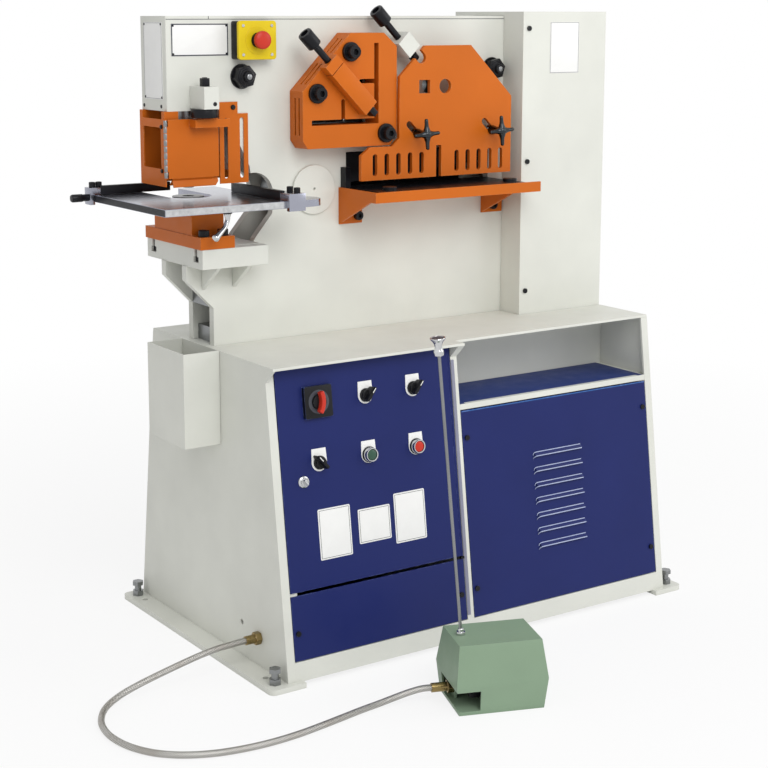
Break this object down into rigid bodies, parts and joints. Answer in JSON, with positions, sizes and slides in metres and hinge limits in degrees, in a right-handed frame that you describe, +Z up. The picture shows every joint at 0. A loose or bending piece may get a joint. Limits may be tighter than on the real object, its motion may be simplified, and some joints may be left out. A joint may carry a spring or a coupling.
{
  "type": "hydraulic ironworker",
  "caption": "Floor-standing hydraulic ironworker with a punch station, angle, bar and flat shears on one rocking beam, a cabinet base with controls and a foot switch on a hose.",
  "frame": {"origin": "centre of the four anchor holes, on the floor", "axes": "+X to the right seen from the control side, +Y to the back, +Z up"},
  "size_m": [1.5816, 1.1025, 1.4524],
  "materials": {
    "ivory_paint": "semi-gloss paint",
    "orange_paint": "semi-gloss paint",
    "navy_paint": "semi-gloss paint",
    "black_steel": "black oxide",
    "bare_steel": "machined",
    "chrome": "bright",
    "green_paint": "semi-gloss paint",
    "yellow_plastic": "moulded",
    "red_plastic": "moulded",
    "dark_green_plastic": "moulded",
    "black_plastic": "moulded",
    "brass": "turned",
    "conduit": "spiral conduit"
  },
  "bodies": {
    "machine": {"base_frame": "ivory_paint", "side_plates": "ivory_paint", "top_plate": "ivory_paint", "back_panel": "ivory_paint", "storage_shelf": "ivory_paint", "front_plate": "ivory_paint", "rear_plate": "ivory_paint", "frame_covers": "ivory_paint", "pivot_pin": "ivory_paint", "t_slot_block": "ivory_paint", "die_holder": "orange_paint", "punch_guard": "orange_paint", "angle_housing": "orange_paint", "shear_tray": "orange_paint", "louvred_panel": "navy_paint", "lower_panel": "navy_paint", "cover_screws": "black_steel", "frame_studs": "black_steel", "cap_screws": "black_steel", "shear_bed": "black_steel", "hydraulic_cylinder": "black_steel", "oil_tank": "black_steel", "levelling_bolts": "bare_steel", "frame_spacers": "bare_steel", "pump_set": "bare_steel", "electrical_box": "bare_steel", "die": "bare_steel", "punch_table": "bare_steel", "foot_rod": "chrome", "foot_housing": "green_paint", "estop_box": "yellow_plastic", "hose_glands": "brass", "conduit_hose": "conduit"},
    "beam": {"rocker_beam": "bare_steel", "upper_blade": "black_steel"},
    "ram": {"ram": "bare_steel", "punch": "bare_steel"},
    "cylinder_rod": {"cylinder_rod": "chrome"},
    "guard_door": {"guard_door": "orange_paint"},
    "angle_hold": {"angle_hold_bar": "orange_paint"},
    "angle_screw": {"angle_hold_screw": "black_steel"},
    "flat_hold": {"flat_hold_pad": "black_steel"},
    "flat_screw": {"flat_hold_screw": "black_steel"},
    "flat_guard": {"flat_guard": "orange_paint"},
    "star_knob_left": {"star_knob_left": "chrome"},
    "star_knob_right": {"star_knob_right": "chrome"},
    "side_fence": {"side_fence": "black_steel"},
    "back_fence": {"back_fence": "black_steel"},
    "clamp_lever": {"clamp_lever": "chrome"},
    "estop_button": {"estop_button": "red_plastic"},
    "control_door": {"control_door": "navy_paint"},
    "main_switch": {"main_switch": "red_plastic"},
    "mode_selector": {"mode_selector": "black_plastic"},
    "work_selector": {"work_selector": "black_plastic"},
    "power_selector": {"power_selector": "black_plastic"},
    "start_button": {"start_button": "dark_green_plastic"},
    "stop_button": {"stop_button": "red_plastic"},
    "door_lock": {"door_lock": "chrome"},
    "foot_pedal": {"foot_pedal": "black_plastic"},
    "slug_bin": {"slug_bin": "ivory_paint"}
  },
  "joints": [
    {"name": "beam_rock", "type": "hinge", "parent": "machine", "child": "beam", "pos_m": [-0.268, 0.05, 1.033], "axis": [0, -1, 0], "range_deg": [-4.5, 4.5]},
    {"name": "ram_slide", "type": "slide", "parent": "machine", "child": "ram", "axis": [0, 0, -1], "range_m": [-0.0235, 0.0235]},
    {"name": "rod_slide", "type": "slide", "parent": "machine", "child": "cylinder_rod", "axis": [0, 0, 1], "range_m": [-0.0545, 0.0545]},
    {"name": "guard_door_swing", "type": "hinge", "parent": "machine", "child": "guard_door", "pos_m": [-0.646, -0.015, 1.142], "axis": [0, 0, -1], "range_deg": [0, 110]},
    {"name": "angle_hold_slide", "type": "slide", "parent": "machine", "child": "angle_hold", "axis": [0.7071, 0, -0.7071], "range_m": [0, 0.016]},
    {"name": "angle_screw_turn", "type": "hinge", "parent": "angle_hold", "child": "angle_screw", "pos_m": [-0.252, -0.08, 1.309], "axis": [0.7071, 0, -0.7071], "range_deg": [0, 1445]},
    {"name": "flat_hold_slide", "type": "slide", "parent": "machine", "child": "flat_hold", "axis": [0.7071, 0, -0.7071], "range_m": [0, 0.012]},
    {"name": "flat_screw_turn", "type": "hinge", "parent": "flat_hold", "child": "flat_screw", "pos_m": [-0.04, -0.046, 1.361], "axis": [0.7071, 0, -0.7071], "range_deg": [0, 1085]},
    {"name": "flat_guard_slide", "type": "slide", "parent": "machine", "child": "flat_guard", "axis": [0.7071, 0, -0.7071], "range_m": [0, 0.02]},
    {"name": "star_knob_left_turn", "type": "hinge", "parent": "machine", "child": "star_knob_left", "pos_m": [-0.022, -0.1, 1.156], "axis": [0, -1, 0], "range_deg": [0, 180]},
    {"name": "star_knob_right_turn", "type": "hinge", "parent": "machine", "child": "star_knob_right", "pos_m": [0.199, -0.1, 1.156], "axis": [0, -1, 0], "range_deg": [0, 180]},
    {"name": "side_fence_slide", "type": "slide", "parent": "machine", "child": "side_fence", "axis": [1, 0, 0], "range_m": [-0.06, 0.025]},
    {"name": "back_fence_slide", "type": "slide", "parent": "machine", "child": "back_fence", "axis": [0, 1, 0], "range_m": [-0.05, 0]},
    {"name": "clamp_lever_swing", "type": "hinge", "parent": "machine", "child": "clamp_lever", "pos_m": [-0.548, -0.108, 1], "axis": [0, 0, 1], "range_deg": [0, 90]},
    {"name": "estop_press", "type": "slide", "parent": "machine", "child": "estop_button", "axis": [0, 1, 0], "range_m": [0, 0.005], "stiffness_N_per_m": 800, "springref_m": -0.004},
    {"name": "control_door_swing", "type": "hinge", "parent": "machine", "child": "control_door", "pos_m": [-0.0674, -0.2962, 0.4255], "axis": [0, 0.1284, 0.9917], "range_deg": [0, 40]},
    {"name": "main_switch_turn", "type": "hinge", "parent": "control_door", "child": "main_switch", "pos_m": [-0.428, -0.27365, 0.605], "axis": [0, -0.9917, 0.1284], "range_deg": [0, 90]},
    {"name": "mode_selector_turn", "type": "hinge", "parent": "control_door", "child": "mode_selector", "pos_m": [-0.301, -0.27391, 0.603], "axis": [0, -0.9917, 0.1284], "range_deg": [0, 80]},
    {"name": "work_selector_turn", "type": "hinge", "parent": "control_door", "child": "work_selector", "pos_m": [-0.173, -0.27391, 0.603], "axis": [0, -0.9917, 0.1284], "range_deg": [0, 80]},
    {"name": "power_selector_turn", "type": "hinge", "parent": "control_door", "child": "power_selector", "pos_m": [-0.432, -0.29075, 0.473], "axis": [0, -0.9917, 0.1284], "range_deg": [-80, 0]},
    {"name": "start_button_press", "type": "slide", "parent": "control_door", "child": "start_button", "axis": [0, 0.9917, -0.1284], "range_m": [0, 0.004], "stiffness_N_per_m": 600, "springref_m": -0.002},
    {"name": "stop_button_press", "type": "slide", "parent": "control_door", "child": "stop_button", "axis": [0, 0.9917, -0.1284], "range_m": [0, 0.004], "stiffness_N_per_m": 600, "springref_m": -0.002},
    {"name": "door_lock_turn", "type": "hinge", "parent": "control_door", "child": "door_lock", "pos_m": [-0.475, -0.29541, 0.437], "axis": [0, -0.9917, 0.1284], "range_deg": [0, 90]},
    {"name": "foot_pedal_press", "type": "hinge", "parent": "machine", "child": "foot_pedal", "pos_m": [-0.15774, -0.65121, 0.031], "axis": [-0.342, -0.9397, 0], "range_deg": [0, 5], "stiffness_Nm_per_rad": 25, "springref_deg": -6.88},
    {"name": "slug_bin_lift", "type": "slide", "parent": "machine", "child": "slug_bin", "axis": [0, 0, 1], "range_m": [0, 0.08]}
  ],
  "couplings": [
    {"joint": "ram_slide", "follows": "beam_rock", "m_per_rad": 0.292},
    {"joint": "rod_slide", "follows": "beam_rock", "m_per_rad": 0.688},
    {"joint": "angle_screw_turn", "follows": "angle_hold_slide", "rad_per_m": 1570.8},
    {"joint": "flat_screw_turn", "follows": "flat_hold_slide", "rad_per_m": 1570.8}
  ]
}
